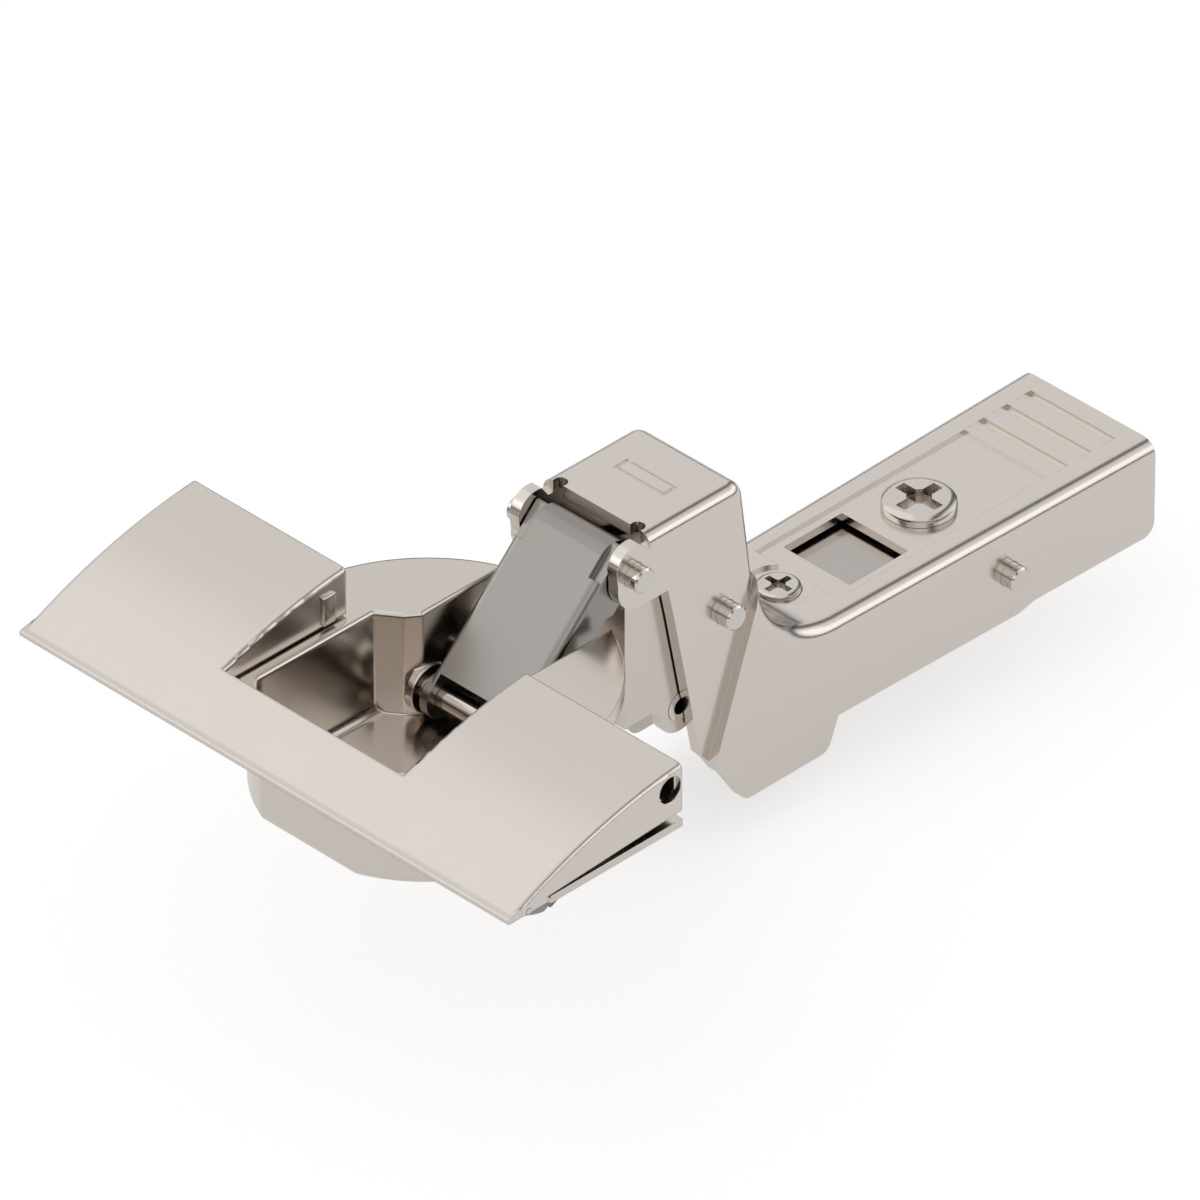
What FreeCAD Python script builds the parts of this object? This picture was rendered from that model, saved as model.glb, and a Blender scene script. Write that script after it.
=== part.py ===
import FreeCAD, Part
import Sketcher
import math
import os
from FreeCAD import Placement, Rotation, Vector

# Concealed cup hinge, drawn with the door 90 degrees open.
# The origin is the centre of the cup, on the face of the door.
# +X runs along the arm, Y along the wings of the cup, +Z out of the door.
# All sizes are in millimetres.

os.makedirs("parts", exist_ok=True)
doc = FreeCAD.newDocument("cup_hinge")

# Driving dimensions
SIZES = {
    # Cup and its boring in the door
    "boss_radius": 17.3,
    "boss_depth": 11.1,
    "boss_flat": 16.1,
    "boss_bottom_round": 1.2,
    "disc_radius": 19.0,
    "disc_thickness": 1.7,
    "cup_floor": 1.0,
    "well_front": 15.2,
    "well_front_half": 6.9,
    "well_corner_back": 13.9,
    "well_corner_half": 8.8,
    "well_side_start": 12.0,
    "well_side_half": 10.7,
    "well_side_end": 3.4,
    "throat_start": 6.6,
    "throat_end": 15.6,
    "throat_half": 7.2,
    "throat_wall": 1.1,
    "throat_wall_drop": 4.7,
    "well_floor_round": 1.1,
    "well_rim_round": 0.45,
    "well_corner_round": 1.2,
    # Pivots of the four-bar linkage
    "outer_cup_pivot_x": 7.1,
    "outer_cup_pivot_z": -7.2,
    "inner_cup_pivot_x": 12.0,
    "inner_cup_pivot_z": -6.2,
    "nose_pivot_x": 20.75,
    "nose_pivot_z": 6.35,
    "rear_pivot_x": 33.3,
    "rear_pivot_z": -4.3,
    "cup_pin_radius": 1.25,
    "cup_pin_half": 9.6,
    "cup_boss_radius": 2.6,
    "cup_boss_height": 0.5,
    "arm_pin_radius": 1.35,
    "arm_pin_proud": 1.6,
    "arm_pin_chamfer": 0.2,
    "pin_clearance": 0.02,
    "pivot_clearance": 0.06,
    # Wing plate that the cup is seated in
    "wing_half": 33.3,
    "wing_front": 22.0,
    "wing_back": 1.2,
    "wing_sheet": 0.85,
    "wing_corner": 1.0,
    "seat_clearance": 0.1,
    # Locking lever that covers both wings
    "lever_sheet": 0.8,
    "lever_nose_height": 1.0,
    "lever_mid_x": 11.5,
    "lever_mid_height": 4.85,
    "lever_back_height": 7.25,
    "lever_back": 1.1,
    "lever_skirt_gap": 0.1,
    "lever_back_gap": 1.05,
    "lever_level_x": 17.0,
    "lever_edge_round": 0.6,
    "lever_window_round": 0.55,
    "lever_window_half": 12.1,
    "lever_window_front": 15.3,
    "lever_hole_radius": 1.45,
    "lever_hole_x": -0.46,
    "lever_hole_z": 5.0,
    "lever_pivot_x": 19.3,
    "lever_pivot_z": 0.55,
    "lever_pin_radius": 0.3,
    "lever_lug_gap": 1.1,
    "lever_lug_sheet": 0.8,
    "lever_front_bottom": 0.35,
    "lever_side_gap": 0.15,
    "plate_front": 19.4,
    # Expanding dowels in the wings
    "dowel_x": 9.5,
    "dowel_y": 22.5,
    "dowel_radius": 4.0,
    "dowel_depth": 8.1,
    "dowel_slit": 0.8,
    "dowel_barb": 0.25,
    "dowel_neck": 2.4,
    "dowel_flare": 3.0,
    "dowel_flare_height": 0.35,
    "spreader_radius": 1.5,
    "spreader_cone": 2.3,
    "spreader_head": 2.8,
    "spreader_rise": 2.0,
    "slide_clearance": 0.08,
    # Outer link
    "link_sheet": 1.0,
    "outer_link_half": 5.85,
    "outer_link_eye": 2.4,
    "outer_link_lip": 1.7,
    "outer_link_roll": 0.9,
    "outer_link_notch": 1.35,
    "notch_clearance": 0.25,
    # Arm: nose and legs
    "arm_sheet": 1.3,
    "nose_half": 7.3,
    "nose_top": 9.8,
    "nose_web_front": 23.0,
    "nose_back": 36.0,
    "nose_roll": 1.5,
    "relief_radius": 0.75,
    "pin_groove": 0.12,
    "mark_x": 29.6,
    "mark_width": 1.9,
    "mark_half": 3.45,
    "mark_depth": 0.15,
    "nose_back_roll": 1.8,
    "ear_front": 18.4,
    "ear_bottom": 2.2,
    "ear_corner_x": 19.2,
    "leg_notch_x": 25.4,
    "leg_foot_x": 29.9,
    "leg_foot_z": -19.6,
    # Arm: channel
    "arm_half_near": 8.3,
    "arm_half_far": 9.2,
    "arm_end": 91.6,
    "arm_top": -12.1,
    "arm_bottom": -23.5,
    "arm_bottom_far": -22.95,
    "arm_step_x": 72.7,
    "arm_step_length": 2.4,
    "arm_roll": 1.7,
    "arm_corner": 1.5,
    "ramp_foot": 38.9,
    "ramp_radius": 10.0,
    "joggle_x": 31.0,
    "joggle_z": -20.9,
    "foot_front_x": 35.1,
    "foot_back_x": 46.6,
    "foot_depth": -27.1,
    "foot_end_x": 48.0,
    "end_lip": 2.15,
    "joggle_lap": 1.3,
    # Arm: openings in its top
    "clip_pivot_x": 71.5,
    "clip_pivot_z": -18.1,
    "window_front": 53.3,
    "window_back": 61.5,
    "window_half": 4.55,
    "window_bevel": 0.5,
    "panel_half": 5.7,
    "panel_back": 79.9,
    "panel_front": 50.5,
    "panel_depth": 0.35,
    "tread_first": 82.75,
    "tread_pitch": 3.35,
    "tread_depth": 0.4,
    "tread_half": 5.8,
    "tread_length": 2.4,
    "depth_cam_x": 67.65,
    "cam_head_radius": 3.8,
    "cam_head_height": 1.2,
    "cam_neck_radius": 2.5,
    "cam_foot_radius": 2.2,
    "side_screw_x": 48.0,
    "side_screw_top": -11.9,
    "side_screw_radius": 2.3,
    "side_screw_neck": 1.2,
    "side_screw_dish": 3.5,
    # Inner link
    "inner_link_eye": 2.3,
    "inner_link_near_half": 4.6,
    "inner_link_far_half": 5.8,
    "inner_link_web": 21.0,
    "inner_link_ring": 3.8,
    "inner_link_mouth": 1.75,
    "inner_link_play": 2.85,
    "inner_link_bottom": -12.8,
    "rivet_x": 28.6,
    "rivet_z": -13.8,
    "rivet_radius": 1.6,
    "rivet_hole": 0.9,
    "rivet_boss": 2.9,
    # Clip carrier under the arm
    "carrier_sheet": 1.2,
    "carrier_half": 6.6,
    "carrier_gap": 0.5,
    "carrier_front": 44.6,
    "carrier_back": 83.0,
    "carrier_bottom": -22.2,
    "carrier_play": 1.7,
    # Release lever of the clip
    "release_half": 5.2,
    "release_sheet": 0.8,
    "release_pivot_x": 79.0,
    "release_pivot_z": -18.5,
    "release_pin_radius": 1.0,
    "release_top": -16.0,
    "release_end": 90.6,
    "release_hook_z": -24.2,
    "spring_wire": 0.25,
    "spring_radius": 1.3,
    "spring_turns": 4.5,
    "spring_pitch": 0.6,
}

# Sizes that follow from the ones above
DERIVED = {
    "lever_lug_inner": "wing_half - lever_sheet - lever_lug_gap",
    "link_span": "sqrt((nose_pivot_x - outer_cup_pivot_x)^2 + (nose_pivot_z - outer_cup_pivot_z)^2)",
    "link_cos": "(nose_pivot_x - outer_cup_pivot_x) / link_span",
    "link_sin": "(nose_pivot_z - outer_cup_pivot_z) / link_span",
    "cup_pin_bore": "cup_pin_radius + pin_clearance",
    "cup_pivot_bore": "cup_pin_radius + pivot_clearance",
    "arm_pin_bore": "arm_pin_radius + pin_clearance",
    "arm_pivot_bore": "arm_pin_radius + pivot_clearance",
    "ramp_tip_x": "ramp_foot - (ramp_foot - nose_back) * 0.46",
    "ramp_tip_z": "arm_top + (nose_top - arm_top) * 0.46",
    "clip_pin_half": "arm_half_near + (arm_half_far - arm_half_near) * 0.53 + arm_pin_proud",
    "carrier_top": "arm_top - arm_sheet - carrier_gap",
}

sheet = doc.addObject("Spreadsheet::Sheet", "dims")
formulas = [(word, str(value)) for word, value in SIZES.items()]
formulas += [(word, "=" + text) for word, text in DERIVED.items()]
for row, (word, text) in enumerate(formulas, start=1):
    sheet.set(f"A{row}", word)
    sheet.set(f"B{row}", text)
    sheet.setAlias(f"B{row}", word)
doc.recompute()
SIZES.update(DERIVED)


class Sizes:
    """Reads a size from the sheet by its name."""

    def __getattr__(self, word):
        return float(getattr(sheet, word))


size = Sizes()
parts = []


def expression(text):
    """Puts the sheet's name before each size in a formula."""
    words = []
    for word in text.replace("(", " ( ").replace(")", " ) ").split():
        sign = "-" if word.startswith("-") and word[1:] in SIZES else ""
        word = word[1:] if sign else word
        words.append(f"{sign}dims.{word}" if word in SIZES else sign + word)
    return " ".join(words)


def new_body(label):
    """Starts a sub-part whose label is the name of its node."""
    body = doc.addObject("PartDesign::Body", label)
    body.Label = label
    parts.append(body)
    return body


def origin_plane(body, role):
    return next(part for part in body.Origin.OriginFeatures if part.Role == role)


def new_sketch(body, name, role, offset="0"):
    """Starts a sketch on one of the body's own planes, moved along its normal."""
    sketch = body.newObject("Sketcher::SketchObject", name)
    sketch.AttachmentSupport = (origin_plane(body, role), [""])
    sketch.MapMode = "FlatFace"
    if offset != "0":
        sketch.setExpression("AttachmentOffset.Base.z", expression(offset))
    return sketch


def tie_point(sketch, edge, end, place, at):
    """Ties a point of the sketch to two formulas."""
    for axis, text, value in (("DistanceX", place[0], at[0]), ("DistanceY", place[1], at[1])):
        index = sketch.addConstraint(Sketcher.Constraint(axis, -1, 1, edge, end, value))
        sketch.setExpression(f"Constraints[{index}]", expression(text))


def add_outline(sketch, corners):
    """Draws a closed outline. A corner is (x, y), or (x, y, mid_x, mid_y) where
    the edge that follows it is an arc through the middle point."""
    first = sketch.GeometryCount
    places = [[sketch.evalExpression(expression(text)) for text in corner] for corner in corners]
    places = [[float(getattr(value, "Value", value)) for value in place] for place in places]
    count = len(corners)
    ends = []
    for index, place in enumerate(places):
        after = places[(index + 1) % count]
        start = Vector(place[0], place[1], 0)
        end = Vector(after[0], after[1], 0)
        if len(place) == 4:
            arc = Part.Arc(start, Vector(place[2], place[3], 0), end)
            sketch.addGeometry(arc, False)
            turned = sketch.getPoint(first + index, 1).distanceToPoint(start) > 1e-6
            ends.append((2, 1) if turned else (1, 2))
        else:
            sketch.addGeometry(Part.LineSegment(start, end), False)
            ends.append((1, 2))
    for index in range(count):
        after = (index + 1) % count
        sketch.addConstraint(Sketcher.Constraint(
            "Coincident", first + index, ends[index][1], first + after, ends[after][0]))
    for index, corner in enumerate(corners):
        tie_point(sketch, first + index, ends[index][0], corner, places[index])
        if len(corner) == 4:
            radius = sketch.Geometry[first + index].Radius
            sketch.addConstraint(Sketcher.Constraint("Radius", first + index, radius))
    return first


def add_circle(sketch, x, y, radius):
    """Draws a circle whose centre and radius are formulas."""
    at = [sketch.evalExpression(expression(text)) for text in (x, y, radius)]
    at = [float(getattr(value, "Value", value)) for value in at]
    index = sketch.addGeometry(Part.Circle(Vector(at[0], at[1], 0), Vector(0, 0, 1), at[2]), False)
    tie_point(sketch, index, 3, (x, y), at)
    round_size = sketch.addConstraint(Sketcher.Constraint("Radius", index, at[2]))
    sketch.setExpression(f"Constraints[{round_size}]", expression(radius))
    return index


def extrude(body, kind, name, sketch, length, symmetric=False, back=False):
    """Adds a Pad or cuts a Pocket, and checks that it changed the solid."""
    before = body.Shape.Volume if body.Tip else 0.0
    feature = body.newObject(f"PartDesign::{kind}", name)
    feature.Profile = sketch
    feature.Type = "Length"
    feature.setExpression("Length", expression(length))
    feature.SideType = "Symmetric" if symmetric else "One side"
    feature.Reversed = back
    sketch.Visibility = False
    doc.recompute()
    change = body.Shape.Volume - before
    if abs(change) < 1e-4 or (change > 0) != (kind == "Pad"):
        raise RuntimeError(f"{body.Label}: {name} changed the volume by {change:.3f}")
    return feature


def pad(body, name, sketch, length, symmetric=False, back=False):
    return extrude(body, "Pad", name, sketch, length, symmetric, back)


def pocket(body, name, sketch, length, symmetric=False, back=False):
    return extrude(body, "Pocket", name, sketch, length, symmetric, back)


def turn(body, name, role, at, outline):
    """Turns an outline of (radius, height) corners about an upright line."""
    sketch = new_sketch(body, f"{name}_outline", role)
    for axis, text in zip("xyz", at):
        sketch.setExpression(f"AttachmentOffset.Base.{axis}", expression(text))
    doc.recompute()
    add_outline(sketch, outline)
    feature = body.newObject("PartDesign::Revolution", name)
    feature.Profile = sketch
    feature.ReferenceAxis = (sketch, ["V_Axis"])
    sketch.Visibility = False
    doc.recompute()
    if feature.Shape.isNull() or not feature.Shape.isValid():
        raise RuntimeError(f"{body.Label}: {name} failed")
    return feature


def turned_pin(label, x, z, radius, half, chamfer, groove=None):
    """A pin along Y with chamfered ends, and with a fine groove near each end if one is given."""
    body = new_body(label)
    end = [
        (f"{radius} - {chamfer}", f"{half}"),
        (radius, f"{half} - {chamfer}"),
    ]
    if groove:
        end += [
            (radius, f"{groove} + pin_groove * 1.5"),
            (f"{radius} - pin_groove", f"{groove} + pin_groove"),
            (f"{radius} - pin_groove", groove),
            (radius, groove),
        ]
    near_end = [(out, f"-( {along} )") for out, along in end]
    turn(body, "pin", "XY_Plane", (x, "0", z), [("0", f"-( {half} )")] + near_end + end[::-1] + [("0", half)])
    return body


def slab(body, name, role, corners, start, length, cut=False, rounds=()):
    """Adds or cuts a flat piece that runs from the start along the plane's normal."""
    sketch = new_sketch(body, f"{name}_outline", role, start)
    if corners:
        add_outline(sketch, corners)
    for x, y, radius in rounds:
        add_circle(sketch, x, y, radius)
    return extrude(body, "Pocket" if cut else "Pad", name, sketch, length, back=cut)


def across(body, name, corners, half, cut=False, rounds=()):
    """Adds or cuts a piece of the side view, equally wide on both sides."""
    sketch = new_sketch(body, f"{name}_outline", "XZ_Plane")
    if corners:
        add_outline(sketch, corners)
    for x, y, radius in rounds:
        add_circle(sketch, x, y, radius)
    return extrude(body, "Pocket" if cut else "Pad", name, sketch, f"( {half} ) * 2", symmetric=True)


def both_sides(body, name, corners, inner, outer, cut=False, rounds=()):
    """Adds or cuts the same side view on the left and on the right."""
    wide = f"{outer} - ( {inner} )"
    slab(body, f"{name}_right", "XZ_Plane", corners, inner, wide, cut, rounds)
    slab(body, f"{name}_left", "XZ_Plane", corners, f"-( {outer} )", wide, cut, rounds)


def box(x0, x1, y0, y1):
    return [(x0, y0), (x1, y0), (x1, y1), (x0, y1)]


def find_edges(body, wanted):
    """Names the edges of the body whose middle and direction pass the test."""
    names = []
    for index, edge in enumerate(body.Shape.Edges, start=1):
        middle = edge.valueAt((edge.FirstParameter + edge.LastParameter) / 2)
        if wanted(edge, middle):
            names.append(f"Edge{index}")
    return names


def dress(body, kind, name, wanted, amount):
    """Adds a Fillet or Chamfer to the edges that pass the test."""
    names = find_edges(body, wanted)
    if not names:
        raise RuntimeError(f"{body.Label}: {name} found no edge")
    base = body.Tip
    feature = body.newObject(f"PartDesign::{kind}", name)
    feature.Base = (base, names)
    feature.setExpression("Radius" if kind == "Fillet" else "Size", expression(amount))
    doc.recompute()
    if "Invalid" in feature.State or feature.Shape.isNull() or not feature.Shape.isValid():
        raise RuntimeError(f"{body.Label}: {name} failed on {names}")
    return feature


def near(a, b, slack=0.05):
    return abs(a - b) < slack


def along_y(edge):
    return edge.Curve.TypeId == "Part::GeomLine" and abs(edge.tangentAt(edge.FirstParameter).y) > 0.99


def along_z(edge):
    return edge.Curve.TypeId == "Part::GeomLine" and abs(edge.tangentAt(edge.FirstParameter).z) > 0.99


def at_xz(places):
    """Tests for edges along Y that cross the side view at one of the places."""
    def wanted(edge, middle):
        return along_y(edge) and any(near(middle.x, x) and near(middle.z, z) for x, z in places)
    return wanted


def on_nose_roll(edge, middle):
    return near(abs(middle.y), size.nose_half) and (
        near(middle.z, size.nose_top) or middle.x > size.nose_back - 0.7) and middle.z > size.ramp_tip_z - 0.1


def on_channel_roll(edge, middle):
    flat = near(middle.z, size.arm_top) and abs(middle.y) > size.nose_half + 0.3
    sweep = near(abs(middle.y), size.arm_half_near) and middle.z > size.arm_top and (
        middle.x > size.nose_back) and not along_y(edge)
    return flat and not along_y(edge) or sweep


def on_well_corner(edge, middle):
    inside = abs(middle.y) < size.well_side_half + 0.1 and -size.well_front - 0.1 < middle.x < size.throat_end + 0.1
    return along_z(edge) and inside and middle.x < -2.0


def on_well_floor(edge, middle):
    return near(middle.z, size.cup_floor - size.boss_depth) and middle.x < 1.0


def on_well_rim(edge, middle):
    inside = math.hypot(middle.x, middle.y) < size.disc_radius - 1.5 and middle.x > -size.well_front - 0.2
    return near(middle.z, size.disc_thickness) and inside


def on_outer_link_side(edge, middle):
    out = ((middle.x - size.outer_cup_pivot_x) * -size.link_sin
           + (middle.z - size.outer_cup_pivot_z) * size.link_cos)
    return near(abs(middle.y), size.outer_link_half) and near(out, size.outer_link_eye) and edge.Length > 5.0


def on_lever_end(edge, middle):
    end = near(abs(middle.y), size.wing_half)
    return end and edge.Curve.TypeId == "Part::GeomCircle" and middle.z > size.lever_nose_height


def on_lever_window(edge, middle):
    inner = near(abs(middle.y), size.lever_window_half) and not along_z(edge) and middle.z > 3.0
    return inner and middle.x > -size.lever_window_front and edge.Length > 5.0


# Hinge arm: one cranked stamping, an upside-down channel with a nose and two legs
arm = new_body("hinge_arm")
nose_side = new_sketch(arm, "nose_side", "XZ_Plane")
add_outline(nose_side, [
    ("nose_web_front", "nose_top"),
    ("nose_back", "nose_top"),
    ("ramp_tip_x", "ramp_tip_z"),
    ("ramp_foot - 1.5", "arm_top - 1.0"),
    ("joggle_x + 2.0", "joggle_z - 2.0"),
    ("joggle_x", "joggle_z"),
    ("leg_foot_x", "leg_foot_z"),
    ("leg_notch_x + 0.9", "ear_bottom - 4.0"),
    ("leg_notch_x", "ear_bottom"),
    ("nose_web_front", "ear_bottom"),
])
pad(arm, "nose_block", nose_side, "nose_half * 2", symmetric=True)
dress(arm, "Fillet", "nose_back_bend", at_xz([(size.nose_back, size.nose_top)]), "nose_back_roll")
dress(arm, "Fillet", "nose_side_bend", on_nose_roll, "nose_roll")
# Form of the channel behind the nose, joined to the nose once its edges are bent
channel = doc.addObject("PartDesign::Body", "arm_channel_form")
channel_side = new_sketch(channel, "channel_side", "XZ_Plane")
add_outline(channel_side, [
    ("nose_back", "nose_top"),
    ("ramp_foot", "arm_top"),
    ("arm_end", "arm_top"),
    ("arm_end", "arm_bottom_far"),
    ("arm_step_x + arm_step_length", "arm_bottom_far"),
    ("arm_step_x", "arm_bottom"),
    ("foot_end_x", "arm_bottom"),
    ("foot_back_x", "foot_depth"),
    ("foot_front_x", "foot_depth"),
    ("joggle_x", "joggle_z"),
    ("joggle_x - 4.0", "joggle_z"),
    ("joggle_x - 4.0", "nose_top"),
])
pad(channel, "channel_block", channel_side, "arm_half_far * 2", symmetric=True)
for side, sign in (("left", ""), ("right", "-")):
    taper = new_sketch(channel, f"taper_{side}", "XY_Plane", "nose_top")
    add_outline(taper, [
        ("joggle_x - 5.0", f"{sign}arm_half_near"),
        ("ramp_foot + ramp_radius", f"{sign}arm_half_near"),
        ("arm_end", f"{sign}arm_half_far"),
        ("arm_end", f"{sign}arm_half_far * 2"),
        ("joggle_x - 5.0", f"{sign}arm_half_far * 2"),
    ])
    pocket(channel, f"taper_cut_{side}", taper, "nose_top - foot_depth + 1.0")
dress(channel, "Fillet", "foot_corners", at_xz([
    (size.foot_front_x, size.foot_depth), (size.foot_back_x, size.foot_depth),
    (size.arm_end, size.arm_bottom_far)]), "arm_corner")
dress(channel, "Fillet", "ramp_bend", at_xz([(size.ramp_foot, size.arm_top)]), "ramp_radius")
dress(channel, "Fillet", "channel_side_bend", on_channel_roll, "arm_roll")
joggle = new_sketch(channel, "joggle", "XZ_Plane")
add_outline(joggle, [
    ("joggle_x", "joggle_z"),
    ("ramp_tip_x + ( ramp_tip_x - joggle_x ) * 0.5", "ramp_tip_z + ( ramp_tip_z - joggle_z ) * 0.5"),
    ("nose_back", "nose_top + 2.0"),
    ("joggle_x - 6.0", "nose_top + 2.0"),
    ("joggle_x - 6.0", "joggle_z"),
])
pocket(channel, "joggle_cut", joggle, "arm_half_far * 3", symmetric=True)
join = arm.newObject("PartDesign::Boolean", "join_channel")
join.Group = [channel]
join.Type = "Fuse"
doc.recompute()

# Hollow of the nose, the legs and the channel, one sheet inside the outside form
nose_hollow = new_sketch(arm, "nose_hollow", "XZ_Plane")
add_outline(nose_hollow, [
    ("nose_web_front - 3.0", "nose_top - arm_sheet"),
    ("nose_back - arm_sheet", "nose_top - arm_sheet"),
    ("ramp_foot - arm_sheet", "arm_top - arm_sheet"),
    ("ramp_foot - arm_sheet", "foot_depth - 2.0"),
    ("nose_web_front - 3.0", "foot_depth - 2.0"),
])
pocket(arm, "nose_hollow_cut", nose_hollow, "( nose_half - arm_sheet ) * 2", symmetric=True)
channel_hollow = new_sketch(arm, "channel_hollow", "XY_Plane", "foot_depth - 2.0")
add_outline(channel_hollow, [
    ("joggle_x + joggle_lap", "arm_half_near - arm_sheet"),
    ("ramp_foot + ramp_radius", "arm_half_near - arm_sheet"),
    ("arm_end - arm_sheet", "arm_half_far - arm_sheet"),
    ("arm_end - arm_sheet", "-arm_half_far + arm_sheet"),
    ("ramp_foot + ramp_radius", "-arm_half_near + arm_sheet"),
    ("joggle_x + joggle_lap", "-arm_half_near + arm_sheet"),
])
pocket(arm, "channel_hollow_cut", channel_hollow, "arm_top - arm_sheet - foot_depth + 2.0", back=True)
end_opening = new_sketch(arm, "end_opening", "YZ_Plane", "arm_end - arm_sheet - 1.0")
add_outline(end_opening, [
    ("-arm_half_far + arm_sheet", "arm_top - end_lip"),
    ("arm_half_far - arm_sheet", "arm_top - end_lip"),
    ("arm_half_far - arm_sheet", "foot_depth"),
    ("-arm_half_far + arm_sheet", "foot_depth"),
])
pocket(arm, "end_opening_cut", end_opening, "arm_sheet + 3.0", back=True)

both_sides(arm, "ear", [
    ("nose_web_front + 0.8", "ear_bottom"),
    ("nose_web_front + 0.8", "nose_top - nose_roll"),
    ("nose_web_front - 0.6", "nose_top - nose_roll"),
    ("nose_web_front - 1.5", "nose_top - 0.25", "ear_front + 1.0", "nose_top - 0.6"),
    ("ear_front", "nose_top - 2.2"),
    ("ear_front + 0.2", "ear_bottom + 3.5", "ear_front + 0.9", "ear_bottom + 1.1"),
    ("ear_front + 2.8", "ear_bottom"),
], "nose_half - arm_sheet", "nose_half")
across(arm, "nose_pin_bore", [], "nose_half + 1.0", cut=True,
       rounds=[("nose_pivot_x", "nose_pivot_z", "arm_pin_bore")])
across(arm, "rear_pin_bore", [], "nose_half + 1.0", cut=True,
       rounds=[("rear_pivot_x", "rear_pivot_z", "arm_pin_bore")])
across(arm, "clip_pin_bore", [], "arm_half_far + 1.0", cut=True,
       rounds=[("clip_pivot_x", "clip_pivot_z", "arm_pin_bore")])
slab(arm, "panel", "XY_Plane", box("panel_front", "panel_back", "-panel_half", "panel_half"),
     "arm_top - panel_depth", "panel_depth + 1.0", cut=True)
slab(arm, "window", "XY_Plane", box("window_front", "window_back", "-window_half", "window_half"),
     "arm_top - arm_sheet - 1.0", "arm_sheet + 2.0", cut=True)
for step in range(3):
    edge = f"tread_first + tread_pitch * {step}"
    across(arm, f"tread_{step}", [
        (edge, "arm_top - tread_depth"),
        (edge, "arm_top + 0.5"),
        (f"{edge} - tread_length", "arm_top + 0.5"),
        (f"{edge} - tread_length", "arm_top"),
    ], "tread_half", cut=True)
slab(arm, "nose_relief", "XY_Plane", [], "nose_top - 3.0", "4.0", cut=True, rounds=[
    ("nose_web_front + 0.3", "nose_half - arm_sheet - relief_radius", "relief_radius"),
    ("nose_web_front + 0.3", "-nose_half + arm_sheet + relief_radius", "relief_radius")])
slab(arm, "mark_groove", "XY_Plane", box("mark_x - mark_width * 0.5", "mark_x + mark_width * 0.5",
                                         "-mark_half", "mark_half"),
     "nose_top - mark_depth", "mark_depth + 1.0", cut=True)
slab(arm, "mark_bar", "XY_Plane", box("mark_x - mark_width * 0.5 + 0.3", "mark_x + mark_width * 0.5 - 0.3",
                                      "-mark_half + 0.4", "mark_half - 0.4"),
     "nose_top - mark_depth - 0.2", "mark_depth + 0.25")
slab(arm, "cam_hole", "XY_Plane", [], "arm_top - arm_sheet - 1.0", "arm_sheet + 2.0", cut=True,
     rounds=[("depth_cam_x", "0", "cam_neck_radius + pivot_clearance")])
slab(arm, "side_screw_dish", "XY_Plane", [], "arm_top - 0.35", "nose_top - arm_top", cut=True,
     rounds=[("side_screw_x", "0", "side_screw_dish")])
slab(arm, "side_screw_hole", "XY_Plane", [], "arm_top - arm_sheet - 1.0", "arm_sheet + 2.0", cut=True,
     rounds=[("side_screw_x", "0", "side_screw_radius + pivot_clearance")])

# Cup: die-cast, with a round flange, a deep well and a throat for the links
cup = new_body("hinge_cup")
slab(cup, "disc", "XY_Plane", [], "0.0", "disc_thickness", rounds=[("0", "0", "disc_radius")])
slab(cup, "boss", "XY_Plane", [], "-boss_depth", "boss_depth + disc_thickness * 0.5", rounds=[("0", "0", "boss_radius")])
slab(cup, "boss_flat", "XY_Plane", box("-disc_radius - 2.0", "-boss_flat", "-disc_radius", "disc_radius"),
     "-boss_depth - 1.0", "boss_depth + 1.0", cut=True)
dress(cup, "Fillet", "boss_bottom_round", lambda edge, middle: near(middle.z, -size.boss_depth),
      "boss_bottom_round")
slab(cup, "plate_seat", "XY_Plane", box("-disc_radius - 1.0", "wing_back + 0.4", "-disc_radius - 1.0", "disc_radius + 1.0"),
     "0.0", "wing_sheet + 0.03", cut=True)
slab(cup, "seat_core", "XY_Plane", [], "-0.5", "wing_sheet + 1.0", rounds=[("0", "0", "boss_radius")])
slab(cup, "disc_flat", "XY_Plane", box("-disc_radius - 1.0", "-boss_flat - 1.0", "-disc_radius", "disc_radius"),
     "-1.0", "disc_thickness + 2.0", cut=True)
slab(cup, "well", "XY_Plane", [
    ("-well_front", "-well_front_half"),
    ("-well_corner_back", "-well_corner_half"),
    ("-well_side_start", "-well_side_half"),
    ("well_side_end", "-well_side_half"),
    ("well_side_end + 1.7", "-throat_half - 1.1"),
    ("throat_start", "-throat_half"),
    ("throat_end - 1.6", "-throat_half"),
    ("throat_end", "-throat_half + 2.0"),
    ("throat_end", "throat_half - 2.0"),
    ("throat_end - 1.6", "throat_half"),
    ("throat_start", "throat_half"),
    ("well_side_end + 1.7", "throat_half + 1.1"),
    ("well_side_end", "well_side_half"),
    ("-well_side_start", "well_side_half"),
    ("-well_corner_back", "well_corner_half"),
    ("-well_front", "well_front_half"),
], "cup_floor - boss_depth", "boss_depth + 4.0", cut=True)
dress(cup, "Fillet", "well_corners", on_well_corner, "well_corner_round")
dress(cup, "Fillet", "well_floor", on_well_floor, "well_floor_round")
slab(cup, "throat_opening", "XY_Plane", box("throat_start", "disc_radius + 2.0", "-throat_half", "throat_half"),
     "-throat_wall_drop", "throat_wall_drop + 4.0", cut=True)
dress(cup, "Fillet", "well_rim", on_well_rim, "well_rim_round")
both_sides(cup, "pin_boss", [], "throat_half - cup_boss_height", "throat_half + 0.5",
           rounds=[("outer_cup_pivot_x", "outer_cup_pivot_z", "cup_boss_radius")])
across(cup, "outer_pin_bore", [], "cup_pin_half", cut=True,
       rounds=[("outer_cup_pivot_x", "outer_cup_pivot_z", "cup_pin_bore")])
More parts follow.
